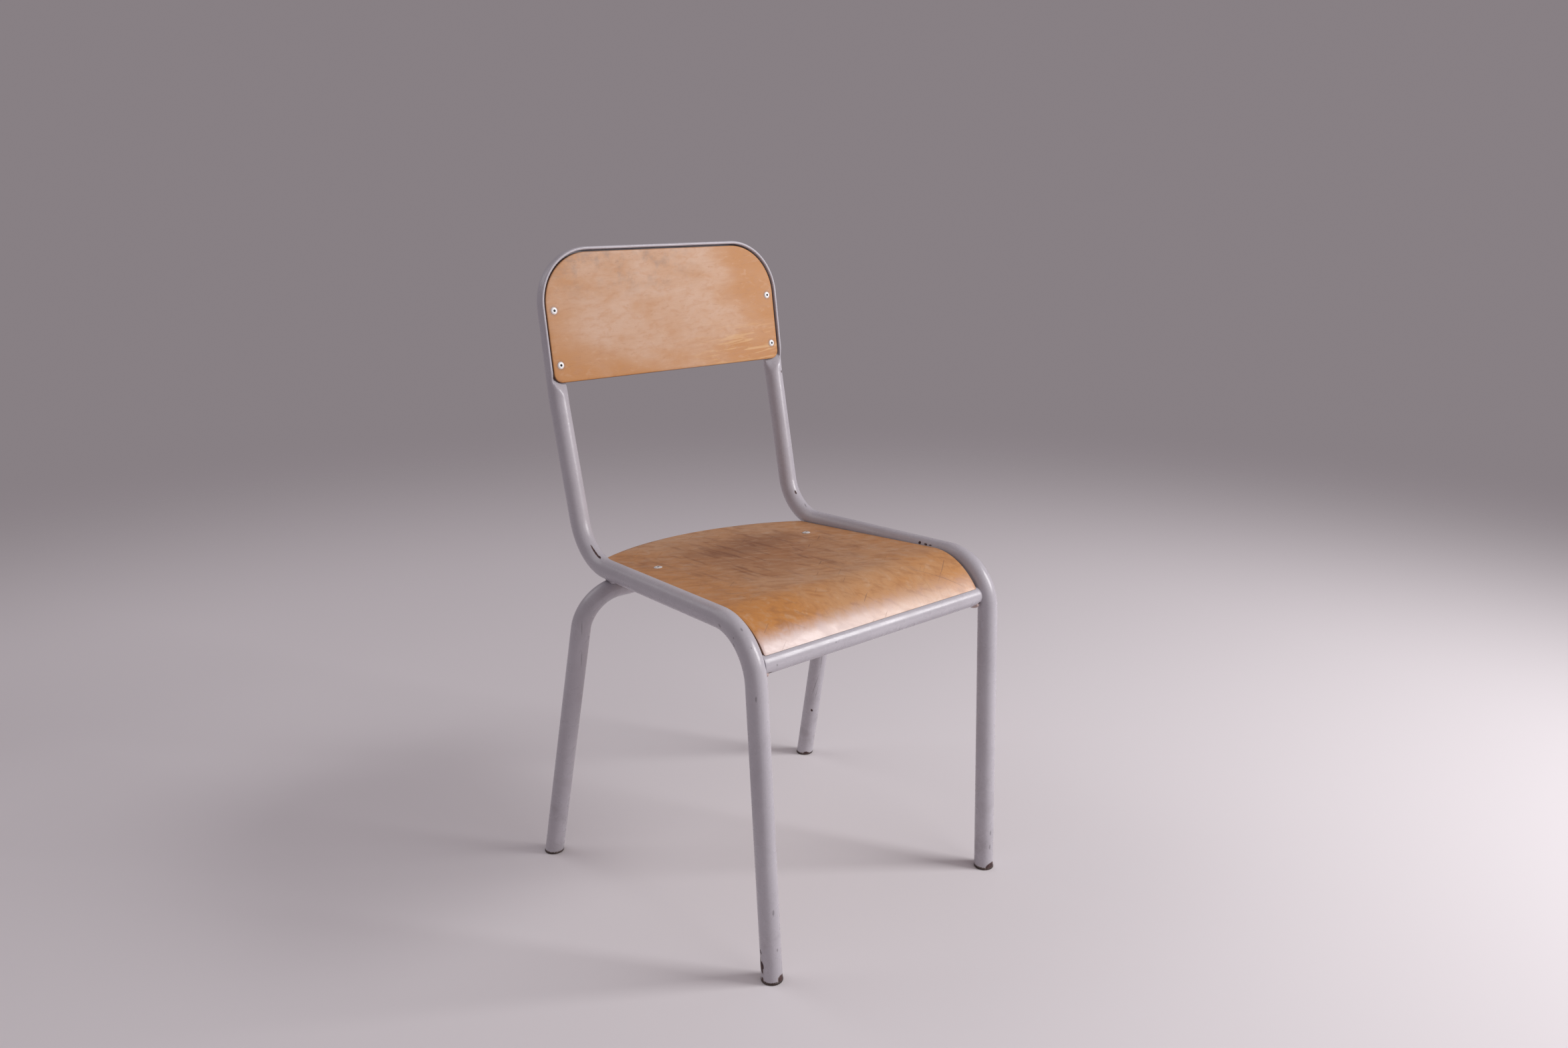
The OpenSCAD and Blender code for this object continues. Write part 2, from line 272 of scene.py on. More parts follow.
def bent_line(corners, radii, spacing):
    """Centre line of a bent tube. An arc leaves a stretch radius times tan(half the
    turn) short of the corner, and its points are the start, plus radius times sin(a)
    along the stretch, plus radius times 1 - cos(a) towards the next. The whole line
    is then divided evenly."""
    ahead = unit(np.diff(corners, axis=0))
    turns = np.arccos(np.clip((ahead[:-1] * ahead[1:]).sum(1), -1, 1))
    line = [corners[:1]]
    for i, (turn, radius) in enumerate(zip(turns, radii)):
        inward = unit(ahead[i + 1] - ahead[i] * (ahead[i] @ ahead[i + 1]))
        leave = corners[i + 1] - ahead[i] * radius * np.tan(turn / 2)
        a = np.linspace(0, turn, 40)[:, None]
        line.append(leave + radius * (np.sin(a) * ahead[i] + (1 - np.cos(a)) * inward))
    line = np.concatenate(line + [corners[-1:]])
    run = np.concatenate([[0], np.cumsum(np.linalg.norm(np.diff(line, axis=0), axis=1))])
    even = np.linspace(0, run[-1], int(run[-1] / spacing) + 1)
    return np.stack([np.interp(even, run, line[:, k]) for k in range(3)], 1), even


def carry(line, outward, section):
    """Carries a section along a line. A ring is its centre, plus the section's first
    number outward (made square to the line), plus its second number to the front,
    which is the line's own direction crossed with outward."""
    ahead = unit(np.gradient(line, axis=0))
    side = unit(outward - (outward * ahead).sum(1, keepdims=True) * ahead)
    front = np.cross(ahead, side)
    return line[:, None] + section[..., :1] * side[:, None] + section[..., 1:] * front[:, None]


def level_ends(grid, line, run, height):
    """Slides the points of the last 20 mm of a tube along it until its end is level at height."""
    ahead = unit(np.gradient(line, axis=0))
    for end in (0, -1):
        share = 1 - smooth(abs(run - run[end]), 0, 0.02)
        shift = (height - grid[end, :, 2]) / ahead[end, 2]
        grid = grid + share[:, None, None] * shift[None, :, None] * ahead[end]
    return grid


def open_ends(grid):
    """Turns both ends of a tube in over a rounded lip and 18 mm up the bore. Each new
    ring is the end ring, scaled about its middle and moved into the tube."""
    for end in (0, -1):
        ring = grid[end]
        middle = ring.mean(0)
        inside = unit(grid[1 if end == 0 else -2].mean(0) - middle)
        scales = np.array([0.995, 0.98, 0.95, 0.91, 0.88, 0.88])
        depths = np.array([-0.0003, -0.00045, -0.0005, -0.0005, -0.0002, 0.018])
        new = middle + scales[:, None, None] * (ring - middle) + depths[:, None, None] * inside
        grid = np.concatenate([new[::-1], grid] if end == 0 else [grid, new])
    return grid


def skin(name, grid, material, smooth_angle, kept=None):
    """A mesh from a grid of closed rings: neighbouring rings are joined by quads and
    the first and last ring are each closed by one face. The faces are turned outward
    if the volume that they enclose comes out negative. Values kept at each point go in
    as attributes, and a pair of values as the UV map."""
    n, m = grid.shape[:2]
    at = np.arange(n * m).reshape(n, m)
    quads = np.stack([at[:-1], np.roll(at, -1, 1)[:-1], np.roll(at, -1, 1)[1:], at[1:]], -1).reshape(-1, 4)
    a, b, c, d = (grid.reshape(-1, 3)[quads[:, k]] for k in range(4))
    volume = np.einsum("ij,ij->", a, np.cross(b, c) + np.cross(c, d))
    faces = quads.tolist() + [at[0][::-1].tolist(), at[-1].tolist()]
    if volume < 0:
        faces = [face[::-1] for face in faces]
    mesh = bpy.data.meshes.new(name)
    mesh.from_pydata(grid.reshape(-1, 3).tolist(), [], faces)
    for label, values in (kept or {}).items():
        if values.shape[-1] == 2 and values.ndim == 3:
            corners = np.zeros(len(mesh.loops), int)
            mesh.loops.foreach_get("vertex_index", corners)
            layer = mesh.uv_layers.new(name=label)
            layer.data.foreach_set("uv", values.reshape(-1, 2)[corners].ravel().astype(np.float32))
        else:
            layer = mesh.attributes.new(label, "FLOAT", "POINT")
            layer.data.foreach_set("value", values.ravel().astype(np.float32))
    mesh.shade_smooth()
    mesh.set_sharp_from_angle(angle=np.radians(smooth_angle))
    mesh.materials.append(material)
    made = bpy.data.objects.new(name, mesh)
    bpy.context.scene.collection.objects.link(made)
    return made


def pressed_section():
    """The round section, the pressed one, and for each of their points how far up the
    back the pressing is half done, and over what height either way it runs out. The
    pressed one runs up the outer wall, a wide arc that leans in by 8 degrees, over the
    round rim, down its inner side and across the ledge; both share the round rear half."""
    lean = np.radians(8)
    wall_r = 0.0566
    rim_r = 0.002
    rim_s = 0.00997
    rim_n = 0.0076
    fillet_r = 0.0015
    up = np.linspace(0, lean, 8)[:-1]
    wall_up = np.stack([TUBE_R - wall_r * (1 - np.cos(up)), wall_r * np.sin(up)], 1)
    a = np.linspace(lean, np.pi, 11)
    over = np.stack([rim_s + rim_r * np.cos(a), rim_n + rim_r * np.sin(a)], 1)
    rim_in = rim_s - rim_r
    wall_down = np.stack([np.full(6, rim_in), np.linspace(rim_n, LEDGE + fillet_r, 6)], 1)[1:]
    b = np.linspace(0, np.pi / 2, 5)[1:]
    fillet = np.stack([rim_in - fillet_r * (1 - np.cos(b)), LEDGE + fillet_r * (1 - np.sin(b))], 1)
    c = np.linspace(np.arccos(fillet[-1, 0] / TUBE_R), np.pi, 19)[1:]
    ledge = np.stack([TUBE_R * np.cos(c), np.full(18, LEDGE)], 1)
    d = np.linspace(np.pi, 2 * np.pi, 33)[1:-1]
    rear = TUBE_R * np.stack([np.cos(d), np.sin(d)], 1)
    pressed = np.concatenate([wall_up, over, wall_down, fillet, ledge, rear])
    rim_count = len(pressed) - len(ledge) - len(rear)
    angle = np.concatenate([np.linspace(0, c[0] - (c[1] - c[0]), rim_count), c, d])
    flat = TUBE_R * np.stack([np.cos(angle), np.sin(angle)], 1)
    inward = np.clip((0.008 - pressed[:, 0]) / 0.0205, 0, 1) ** 0.8
    onset = 0.0165 - 0.0135 * inward
    spread = 0.009 + 0.007 * inward
    outer = len(wall_up) + 6
    onset[:outer], spread[:outer] = 0.017, 0.012
    return flat, pressed, onset, spread


frame_corners = both_sides(
    [
        (0.1865357, -0.2264765, FOOT_END),
        FRONT_BEND,
        REAR_BEND,
        on_back(BACK_X, 0, BACK_FOOT),
        on_back(BACK_X, 0, BACK_TOP),
    ]
)
half_bends = [0.064, 0.066, 0.1, BACK_R]
frame_line, frame_run = bent_line(frame_corners, half_bends + half_bends[::-1], RING_STEP)
up_back = back_height(frame_line)
spine = on_back(
    np.clip(frame_line[:, 0], BACK_R - BACK_X, BACK_X - BACK_R), 0, np.minimum(up_back, BACK_TOP - BACK_R)
)
sideways = np.sign(frame_line[:, :1]) * [[1, 0, 0]]
outward = np.where((up_back > BACK_TOP - BACK_R)[:, None], frame_line - spine, sideways)
flat, pressed, onset, spread = pressed_section()
press = smooth(up_back[:, None], onset - spread, onset + spread)
section = flat + press[..., None] * (pressed - flat)
bulge = 0.0014 * np.exp(-(((up_back - 0.004) / 0.012) ** 2))
section[..., 0] -= bulge[:, None] * smooth(-pressed[:, 0], 0.006, 0.0125)
frame_grid = level_ends(carry(frame_line, outward, section), frame_line, frame_run, FOOT_END)


def spots(line, run, outward, marks):
    """Where each mark sits on a tube, and how it is turned. A mark is typed as its
    millimetres along the tube, from the far foot if negative, its degrees round it,
    its length and width in millimetres, and its turn from the tube's line."""
    ahead = unit(np.gradient(line, axis=0))
    side = unit(outward - (outward * ahead).sum(1, keepdims=True) * ahead)
    found = []
    for along, round_at, length, width, turned in marks:
        place = along / 1000 if along >= 0 else run[-1] + along / 1000
        i = int(abs(run - place).argmin())
        front = np.cross(ahead[i], side[i])
        a, t = np.radians([round_at, turned])
        normal = side[i] * np.cos(a) + front * np.sin(a)
        around_dir = front * np.cos(a) - side[i] * np.sin(a)
        middle = line[i] + TUBE_R * normal + ahead[i] * (place - run[i])
        axis = ahead[i] * np.cos(t) + around_dir * np.sin(t)
        turn = Matrix([axis, np.cross(normal, axis), normal]).transposed().to_euler()
        sizes = (length / 2000, width / 2000, max(0.003, length / 3000))
        found.append((tuple(middle), tuple(turn), sizes))
    return found


def inside_spots(paint, found):
    """How deep inside the nearest mark a point is: 1 at its middle, 0 at its edge and
    less outside. Each mark is an ellipsoid that the surface cuts."""
    best = -1.0
    point = paint.add("TexCoord", "Object", {})
    for middle, turn, sizes in found:
        inputs = {"Vector": point, "Location": middle, "Rotation": turn, "Scale": sizes}
        in_mark = paint.add("Mapping", 0, inputs, vector_type="TEXTURE")
        near = paint.add("VectorMath", "Value", {0: in_mark}, operation="LENGTH")
        best = paint.highest(paint.minus(1.0, near), best)
    return best


def tube_paint(name, chipped, rubbed):
    """Grey gloss paint on steel: faint clouding, orange peel and hairline scratches,
    brown-black steel in the chips with a pale ridge of primer round them, and grime
    where hands and shoes rub."""
    paint = Finish(name)
    where = paint.place()
    cloud = paint.noise(where, 9, 3)
    speckle = paint.noise(where, 420, 2)
    colour = paint.mix(paint.step(cloud, 0.3, 0.7), (0.50, 0.475, 0.515), (0.545, 0.52, 0.56))
    colour = paint.mix(paint.step(speckle, 0.62, 0.72, 0, 0.10), colour, (0.30, 0.28, 0.30))
    height = paint.part("Z")
    low = paint.step(height, 0.16, 0.0)
    patches = paint.step(paint.noise(where, 38, 5, 0.65), 0.46, 0.68)
    grime = paint.times(patches, paint.plus(paint.times(low, 0.20), 0.06))
    colour = paint.mix(grime, colour, (0.17, 0.145, 0.14))
    hair = paint.noise(paint.place((900, 900, 14)), 1, 2, 0.5, 0.4)
    colour = paint.mix(paint.step(hair, 0.75, 0.80, 0, 0.22), colour, (0.22, 0.20, 0.21))
    ragged = paint.minus(paint.noise(where, 620, 4, 0.6), 0.5)
    foot = paint.step(height, 0.010, 0.001, -1.0, 0.25)
    depth = paint.plus(paint.highest(inside_spots(paint, chipped), foot), paint.times(ragged, 0.9))
    rub = paint.plus(inside_spots(paint, rubbed), paint.times(ragged, 0.5))
    colour = paint.mix(paint.step(rub, 0.0, 0.6, 0, 0.55), colour, (0.17, 0.155, 0.165))
    primer = paint.step(depth, -0.06, 0.02)
    bare = paint.step(depth, 0.06, 0.14)
    browned = paint.step(paint.noise(where, 260, 4), 0.42, 0.62)
    steel = paint.mix(browned, (0.048, 0.024, 0.026), (0.108, 0.055, 0.050))
    colour = paint.mix(primer, colour, (0.28, 0.23, 0.215))
    colour = paint.mix(bare, colour, steel)
    shine = paint.step(paint.noise(where, 60, 3), 0.3, 0.7, 0.24, 0.33)
    shine = paint.plus(shine, paint.times(paint.highest(primer, grime), 0.4))
    peel = paint.bump(paint.noise(where, 190, 2), 0.00012)
    dug = paint.bump(paint.minus(1.0, primer), 0.0004, peel)
    paint.use(Base_Color=colour, Roughness=shine, Normal=dug, Specular_IOR_Level=0.5)
    return paint.material


frame_chips = [
    (733, 73.5, 28, 2.5, 3), (721, 73, 8, 3.2, 3),
    (37.5, 346, 6, 2.6, -30), (19, 343, 19, 5, -18), (21, 357, 10, 4, -10),
    (2, 350, 6, 4, 0), (1.5, 116, 10, 16, 20), (-501, 148, 5, 4, 24), (-490.5, 149.5, 5.5, 2.5, 7),
    (-482.5, 148.5, 5, 1.6, -3), (-766, 102.5, 6, 3, 0), (-1.5, 96, 9, 19, -20), (-950, 63, 4, 3, 18),
]
frame_rubs = [
    (441, 356, 7, 4, 18), (418, 75, 6, 3, 3), (410.5, 350, 7, 2.4, 20), (398.5, 74, 2.6, 2.2, 0),
    (416, 15, 3, 2.2, 24), (348.5, 46, 9, 3, 3), (89.5, 78, 10, 3.5, 3), (41, 91, 6, 3, 3),
    (-50, 97, 9, 3.5, 0), (-30, 101, 9, 3.5, 0), (-734.5, 96.5, 11, 3, 20),
]
frame_paint = tube_paint(
    "frame_paint",
    spots(frame_line, frame_run, outward, frame_chips),
    spots(frame_line, frame_run, outward, frame_rubs),
)
main_frame = skin("main_frame_tube", open_ends(frame_grid), frame_paint, 60)
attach(main_frame, "root")
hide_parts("main_frame")

# ---- Rear leg frame ----
# A second tube of the same steel, bent to an upside-down U. Its bar runs under
# the seat and its shoulders are welded under the seat rails.

REAR_FOOT = (0.2311, 0.1874)
SHOULDER = (0.2158, 0.0995, 0.3914)
SHOULDER_R = 0.0505
SPINE_X = 0.165
SPINE_Z = 0.3405
rear_corners = both_sides([(0.231, 0.1868, FOOT_END), SHOULDER])
rear_line, rear_run = bent_line(rear_corners, [SHOULDER_R, SHOULDER_R], RING_STEP)
spine_x = np.clip(rear_line[:, 0], -SPINE_X, SPINE_X)
spine_z = np.minimum(rear_line[:, 2], SPINE_Z)
rear_outward = rear_line - np.stack([spine_x, rear_line[:, 1], spine_z], 1)
around = np.linspace(0, 2 * np.pi, 64, endpoint=False)
circle = TUBE_R * np.stack([np.cos(around), np.sin(around)], 1)
rear_grid = level_ends(carry(rear_line, rear_outward, circle[None]), rear_line, rear_run, FOOT_END)
rear_chips = [(1102, 128, 5, 3, -22), (-3, 120, 7, 10, 10)]
rear_rubs = [
    (1007.5, 111, 44, 1.5, 0), (1053, 129, 52, 1.5, 9), (1068, 112, 30, 1.2, 5),
    (356, 62, 24, 1.4, -11), (311.5, 81, 30, 1.4, -4),
]
leg_paint = tube_paint(
    "leg_paint",
    spots(rear_line, rear_run, rear_outward, rear_chips),
    spots(rear_line, rear_run, rear_outward, rear_rubs),
)
rear_legs = skin("rear_leg_tube", open_ends(rear_grid), leg_paint, 60)
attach(rear_legs, "root")
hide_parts("rear_leg_frame")

# ---- Front cross bar ----
# A straight piece of the same tube between the front legs. The rolled front of
# the seat rests on it, and each end is tied to its leg by a short weld.

BAR_Y = -0.197
BAR_Z = 0.3783
BAR_LEFT = -0.177
BAR_LENGTH = 0.356
BAR_RINGS = 140
BAR_END = 0.0008
bar_run = np.linspace(0, BAR_LENGTH, BAR_RINGS)
bar_line = np.stack([bar_run + BAR_LEFT, np.full(BAR_RINGS, BAR_Y), np.full(BAR_RINGS, BAR_Z)], 1)
bar_up = np.tile([0.0, 0.0, 1.0], (BAR_RINGS, 1))
bar_grid = carry(bar_line, bar_up, circle[None])
bar_grid[0, :, 0] -= BAR_END
bar_grid[-1, :, 0] += BAR_END
bar_chips = [(4, 133, 12, 2.4, 0), (-2, 125, 4, 4, 0)]
bar_rubs = [(14.5, 92, 4, 3, 60), (103, 73, 3, 2.5, 0)]
bar_paint = tube_paint(
    "bar_paint", spots(bar_line, bar_run, bar_up, bar_chips), spots(bar_line, bar_run, bar_up, bar_rubs)
)
cross_bar = skin("cross_bar_tube", open_ends(bar_grid), bar_paint, 60)
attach(cross_bar, "root")
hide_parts("front_cross_bar")

# ---- Seat ----
# Moulded plywood of 8.5 mm with a birch-like rotary veneer, flat with its front
# edge rolled down over the cross bar, varnished and worn brown in the middle.

SEAT_TOP = 0.4206
SEAT_SLOPE = np.radians(3.18)
ROLL_Y = 0.1275
ROLL_R = 0.085
ROLL_TURN = np.radians(57.1)
SEAT_T = 0.0085
SEAT_EDGE_R = 0.0012
RAIL_TAPER = 0.04289
SEAT_LEFT_END = -0.2756
SEAT_RIGHT_END = -0.2502
SEAT_REAR_X = -0.0175
SEAT_REAR_Y = 0.1879
SEAT_REAR_R = 0.288
PLY_WAVES = 15.7


def seat_line(q, depth):
    """Side view of the seat at q along its top face, forward of where the roll starts,
    and depth below that face: straight behind that place, and an arc ahead of it.
    Gives how far forward and how high."""
    top = SEAT_TOP + ROLL_Y * np.tan(SEAT_SLOPE)
    angle = np.maximum(q, 0) / ROLL_R - SEAT_SLOPE
    back = np.minimum(q, 0)
    r = ROLL_R - depth
    forward = ROLL_Y + ROLL_R * np.sin(SEAT_SLOPE) + r * np.sin(angle) + back * np.cos(SEAT_SLOPE)
    height = top - ROLL_R * np.cos(SEAT_SLOPE) + r * np.cos(angle) + back * np.sin(SEAT_SLOPE)
    return forward, height


def clear_of_tube(points, y, z, radius):
    """Moves points that lie inside a tube along X straight out of it, to its surface."""
    off = points[..., 1:] - [y, z]
    far = np.linalg.norm(off, axis=-1, keepdims=True)
    out = np.array(points)
    out[..., 1:] = np.where(far < radius, [y, z] + off * radius / np.maximum(far, 1e-6), points[..., 1:])
    return out


def soften(loop, spacing, reach):
    """Divides a closed outline evenly and rounds its corners, by the mean of the points
    within reach on either side."""
    closed = np.concatenate([loop, loop[:1]])
    run = np.concatenate([[0], np.cumsum(np.linalg.norm(np.diff(closed, axis=0), axis=1))])
    even = np.arange(0, run[-1], spacing)
    even = even * run[-1] / (even[-1] + spacing)
    loop = np.stack([np.interp(even, run, closed[:, k]) for k in range(2)], 1)
    count = int(reach / spacing)
    return sum(np.roll(loop, k, 0) for k in range(-count, count + 1)) / (2 * count + 1)


def board(name, loop, lift, thick, edge_r, material, rings=44, mend=None):
    """A plywood board with rounded edges. Rings run from the middle of the top face out
    to the outline, round its edge, down, and back to the middle of the bottom face;
    lift turns outline coordinates and depth into places. The outline coordinates are
    kept as the UV map, and the share of the thickness as ply."""
    along = unit(np.roll(loop, -1, 0) - np.roll(loop, 1, 0))
    out = np.stack([along[:, 1], -along[:, 0]], 1)
    middle = loop.mean(0)
    if ((loop - middle) * out).sum() < 0:
        out = -out
    a = np.linspace(0, np.pi / 2, 5)
    inset = np.concatenate([edge_r * (1 - np.sin(a)), np.zeros(6), edge_r * (1 - np.cos(a))])
    side = np.linspace(edge_r, thick - edge_r, 8)[1:-1]
    depth = np.concatenate([edge_r * (1 - np.cos(a)), side, thick - edge_r * (1 - np.sin(a))])
    rim = loop - out * inset[:, None, None]
    share = np.linspace(0.004, 1, rings, endpoint=False)[:, None, None]
    top = middle + share * (rim[0] - middle)
    bottom = middle + share[::-1] * (rim[-1] - middle)
    flat_grid = np.concatenate([top, rim, bottom])
    depths = np.concatenate([np.zeros(rings), depth, np.full(rings, thick)])
    depths = depths[:, None] * np.ones(len(loop))
    grid = lift(flat_grid[..., 0], flat_grid[..., 1], depths)
    if mend:
        grid = mend(grid)
    kept = {"plan": flat_grid, "ply": depths / thick}
    return skin(name, grid, material, 50, kept)


def lift_seat(x, q, depth):
    """Places on the seat, its top face worn in waves of a quarter of a millimetre."""
    forward, height = seat_line(q, depth)
    worn = 0.00025 * np.sin(x * 31 + 1) * np.sin(q * 27)
    return np.stack([x, -forward, height + worn * (depth == 0)], -1)


def seat_side(q_end):
    """Half the seat's width, from its front edge back to q_end, and each q: as far out
    as the rail's tube, less 0.8 mm, and 3.6 mm less again at the front edge."""
    q = np.linspace(ROLL_R * (ROLL_TURN + SEAT_SLOPE), q_end, 200)
    y = -seat_line(q, 0)[0]
    rail_x = FRONT_BEND[0] - RAIL_TAPER * (y - FRONT_BEND[1])
    return rail_x - TUBE_R - 0.0008 - 0.0036 * smooth(q, 0.0, 0.08), q


half_left, q_left = seat_side(SEAT_LEFT_END)
half_right, q_right = seat_side(SEAT_RIGHT_END)
# The rear edge is an arc, which meets the right side at 39.38 degrees and the left at -30.61.
rear_a = np.radians(np.linspace(39.38, -30.61, 90))[1:-1]
rear_x = SEAT_REAR_X + SEAT_REAR_R * np.sin(rear_a)
rear_y = SEAT_REAR_Y - SEAT_REAR_R * (1 - np.cos(rear_a))
rear_edge = np.stack([rear_x, -(rear_y + ROLL_Y) / np.cos(SEAT_SLOPE)], 1)
seat_loop = np.concatenate(
    [np.stack([half_right, q_right], 1), rear_edge, np.stack([-half_left, q_left], 1)[::-1]]
)


def seat_wood(name):
    """Varnished veneer with its grain from front to back: long flame streaks, fine
    pores, a brown worn patch rear of the middle, orange edges, and scratches through a
    varnish that is still glossy on the rolled front. A painted highlight lies along the
    lower rolled front, and painted shade on its edge against the cross bar."""
    wood = Finish(name)
    x, q = wood.part("X", "UV"), wood.part("Y", "UV")
    flame = wood.noise(wood.place((85, 11, 1), turn=(0, 0, -0.05), source="UV"), 1, 5, 0.62, 0.9)
    mottle = wood.noise(wood.place((55, 42, 1), source="UV"), 1, 5, 0.62, 0.5)
    pores = wood.noise(wood.place((950, 90, 1), source="UV"), 1, 3, 0.6)
    blotch = wood.noise(wood.place(source="UV"), 15, 4, 0.55, 0.4)
    orange = wood.plus(wood.times(wood.step(x, -0.05, -0.145), 0.8), wood.about(blotch, 0.5, 1.8))
    orange = wood.plus(orange, wood.times(wood.step(x, 0.08, 0.155), 0.35))
    colour = wood.mix(wood.step(orange, -0.25, 0.75), (0.600, 0.325, 0.155), (0.595, 0.262, 0.075))
    colour = wood.mix(wood.step(mottle, 0.50, 0.68, 0, 0.45), colour, (0.460, 0.200, 0.075))
    colour = wood.mix(wood.step(mottle, 0.32, 0.46, 0.45, 0), colour, (0.660, 0.430, 0.270))
    ragged = wood.about(wood.noise(wood.place((30, 16, 1), source="UV"), 1, 5, 0.6, 0.6), 0.5, 1.5)
    away = wood.spread(x, q, (0.005, -0.155), (0.135, 0.125))
    patch = wood.step(wood.plus(away, ragged), 1.3, 0.3)
    colour = wood.mix(wood.times(patch, 0.72), colour, (0.375, 0.162, 0.066))
    rubbed = wood.noise(wood.place((50, 25, 1), turn=(0, 0, -0.5), source="UV"), 1, 4, 0.6, 0.8)
    rubbed = wood.times(patch, wood.step(rubbed, 0.52, 0.64))
    colour = wood.mix(wood.times(rubbed, 0.35), colour, (0.50, 0.305, 0.185))
    core = wood.spread(x, q, (0.03, -0.195), (0.10, 0.055))
    dark = wood.step(wood.plus(core, ragged), 1.15, 0.2)
    colour = wood.mix(wood.times(dark, 0.45), colour, (0.250, 0.105, 0.044))
    stain = wood.noise(wood.place((95, 34, 1), turn=(0, 0, -1.0), source="UV"), 1, 5, 0.62, 0.5)
    colour = wood.mix(wood.step(stain, 0.50, 0.66, 0, 0.40), colour, (0.345, 0.145, 0.055))
    colour = wood.mix(wood.step(stain, 0.34, 0.47, 0.35, 0), colour, (0.600, 0.370, 0.215))
    streak = wood.noise(wood.place((80, 13, 1), turn=(0, 0, 0.03), source="UV"), 1, 4, 0.62, 0.6)
    brown = wood.times(wood.step(streak, 0.53, 0.63), wood.plus(wood.times(patch, 0.68), 0.07))
    colour = wood.mix(brown, colour, (0.250, 0.096, 0.036))
    colour = wood.mix(wood.step(flame, 0.54, 0.70, 0, 0.25), colour, (0.400, 0.180, 0.075))
    colour = wood.mix(wood.step(pores, 0.56, 0.72, 0, 0.22), colour, (0.27, 0.135, 0.068))
    scratch = wood.noise(wood.place((420, 10, 1), turn=(0, 0, 0.9), source="UV"), 1, 2, 0.5, 0.5)
    crossed = wood.noise(wood.place((380, 11, 1), turn=(0, 0, -0.9), source="UV"), 1, 2, 0.5, 0.7)
    scratch = wood.step(wood.highest(scratch, crossed), 0.715, 0.745)
    colour = wood.mix(wood.times(scratch, 0.45), colour, (0.19, 0.11, 0.08))
    # Painted highlight: a whitish-pink band on the lower rolled front, strongest at the left (share 0.80
    # there, 0.22 at the right), partly also hazed old varnish.
    front = wood.step(wood.plus(q, wood.about(mottle, 0.5, 0.03)), 0.054, 0.082)
    pale = wood.times(front, wood.step(x, 0.13, -0.15, 0.22, 0.80))
    colour = wood.mix(pale, colour, (0.76, 0.63, 0.61))
    # Painted shade, with some dirt: a near-black band on the last millimetre of the front edge, in the
    # crease where the seat meets the cross bar.
    colour = wood.mix(wood.step(q, 0.0882, 0.0890), colour, (0.06, 0.035, 0.03))
    layers = wood.step(wood.calc("SINE", wood.times(wood.kept("ply"), PLY_WAVES)), -0.3, 0.3)
    side = wood.mix(layers, (0.110, 0.055, 0.033), (0.240, 0.125, 0.068))
    dirt = wood.step(wood.noise(wood.place(), 240, 4), 0.45, 0.65, 0, 0.5)
    side = wood.mix(dirt, side, (0.07, 0.036, 0.024))
    colour = wood.mix(wood.step(wood.kept("ply"), 0.0, 0.05), colour, side)
    under = wood.step(wood.kept("ply"), 0.93, 0.99)
    raw = wood.mix(wood.step(flame, 0.35, 0.7), (0.40, 0.255, 0.145), (0.30, 0.175, 0.09))
    colour = wood.mix(under, colour, raw)
    shine = wood.plus(wood.step(patch, 0, 1, 0.28, 0.46), wood.step(stain, 0.35, 0.65, 0, 0.11))
    shine = wood.plus(shine, wood.times(wood.highest(scratch, under), 0.25))
    bumpy = wood.bump(pores, 0.00006)
    bumpy = wood.bump(wood.noise(wood.place((1.6, 1, 1), source="UV"), 75, 4, 0.6), 0.00018, bumpy)
    bumpy = wood.bump(wood.minus(1.0, scratch), 0.00015, bumpy)
    wood.use(
        Base_Color=colour,
        Roughness=shine,
        Normal=bumpy,
        Specular_IOR_Level=0.42,
        Coat_Weight=0.1,
        Coat_Roughness=0.22,
    )
    return wood.material


seat = board(
    "seat_board",
    soften(seat_loop, 0.0026, 0.0026),
    lift_seat,
    SEAT_T,
    SEAT_EDGE_R,
    seat_wood("seat_plywood"),
    mend=lambda grid: clear_of_tube(grid, BAR_Y, BAR_Z, TUBE_R + 0.0002),
)
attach(seat, "root")
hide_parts("seat_panel")

# ---- Back panel ----
# Flat plywood of 8 mm that lies in the pressed ledge of the frame, with two large
# top corners and two small bottom ones, a paler veneer with its grain across.


PANEL_T = 0.008
PANEL_EDGE_R = 0.0018
PANEL_FRONT = LEDGE + PANEL_T
PANEL_X = BACK_X + 0.006
PANEL_FOOT = 0.0113
PANEL_TOP = BACK_TOP + 0.006
FOOT_R = 0.012
TOP_R = BACK_R + 0.006
RIVET_X = 0.175
RIVET_LOW = 0.0337
RIVET_HIGH = 0.1025


def lift_back(x, h, depth):
    """Places on the panel, depth behind its front face."""
    return on_back(x, PANEL_FRONT - depth, h)


small_a = np.linspace(0, np.pi / 2, 12)
small_x = PANEL_X - FOOT_R + FOOT_R * np.sin(small_a)
small_h = PANEL_FOOT + FOOT_R - FOOT_R * np.cos(small_a)
corner_a = np.linspace(0, np.pi / 2, 40)
corner_x = PANEL_X - TOP_R + TOP_R * np.cos(corner_a)
corner_h = PANEL_TOP - TOP_R + TOP_R * np.sin(corner_a)
right_half = np.concatenate([np.stack([small_x, small_h], 1), np.stack([corner_x, corner_h], 1)])
back_loop = np.concatenate([right_half, right_half[::-1] * [-1, 1]])


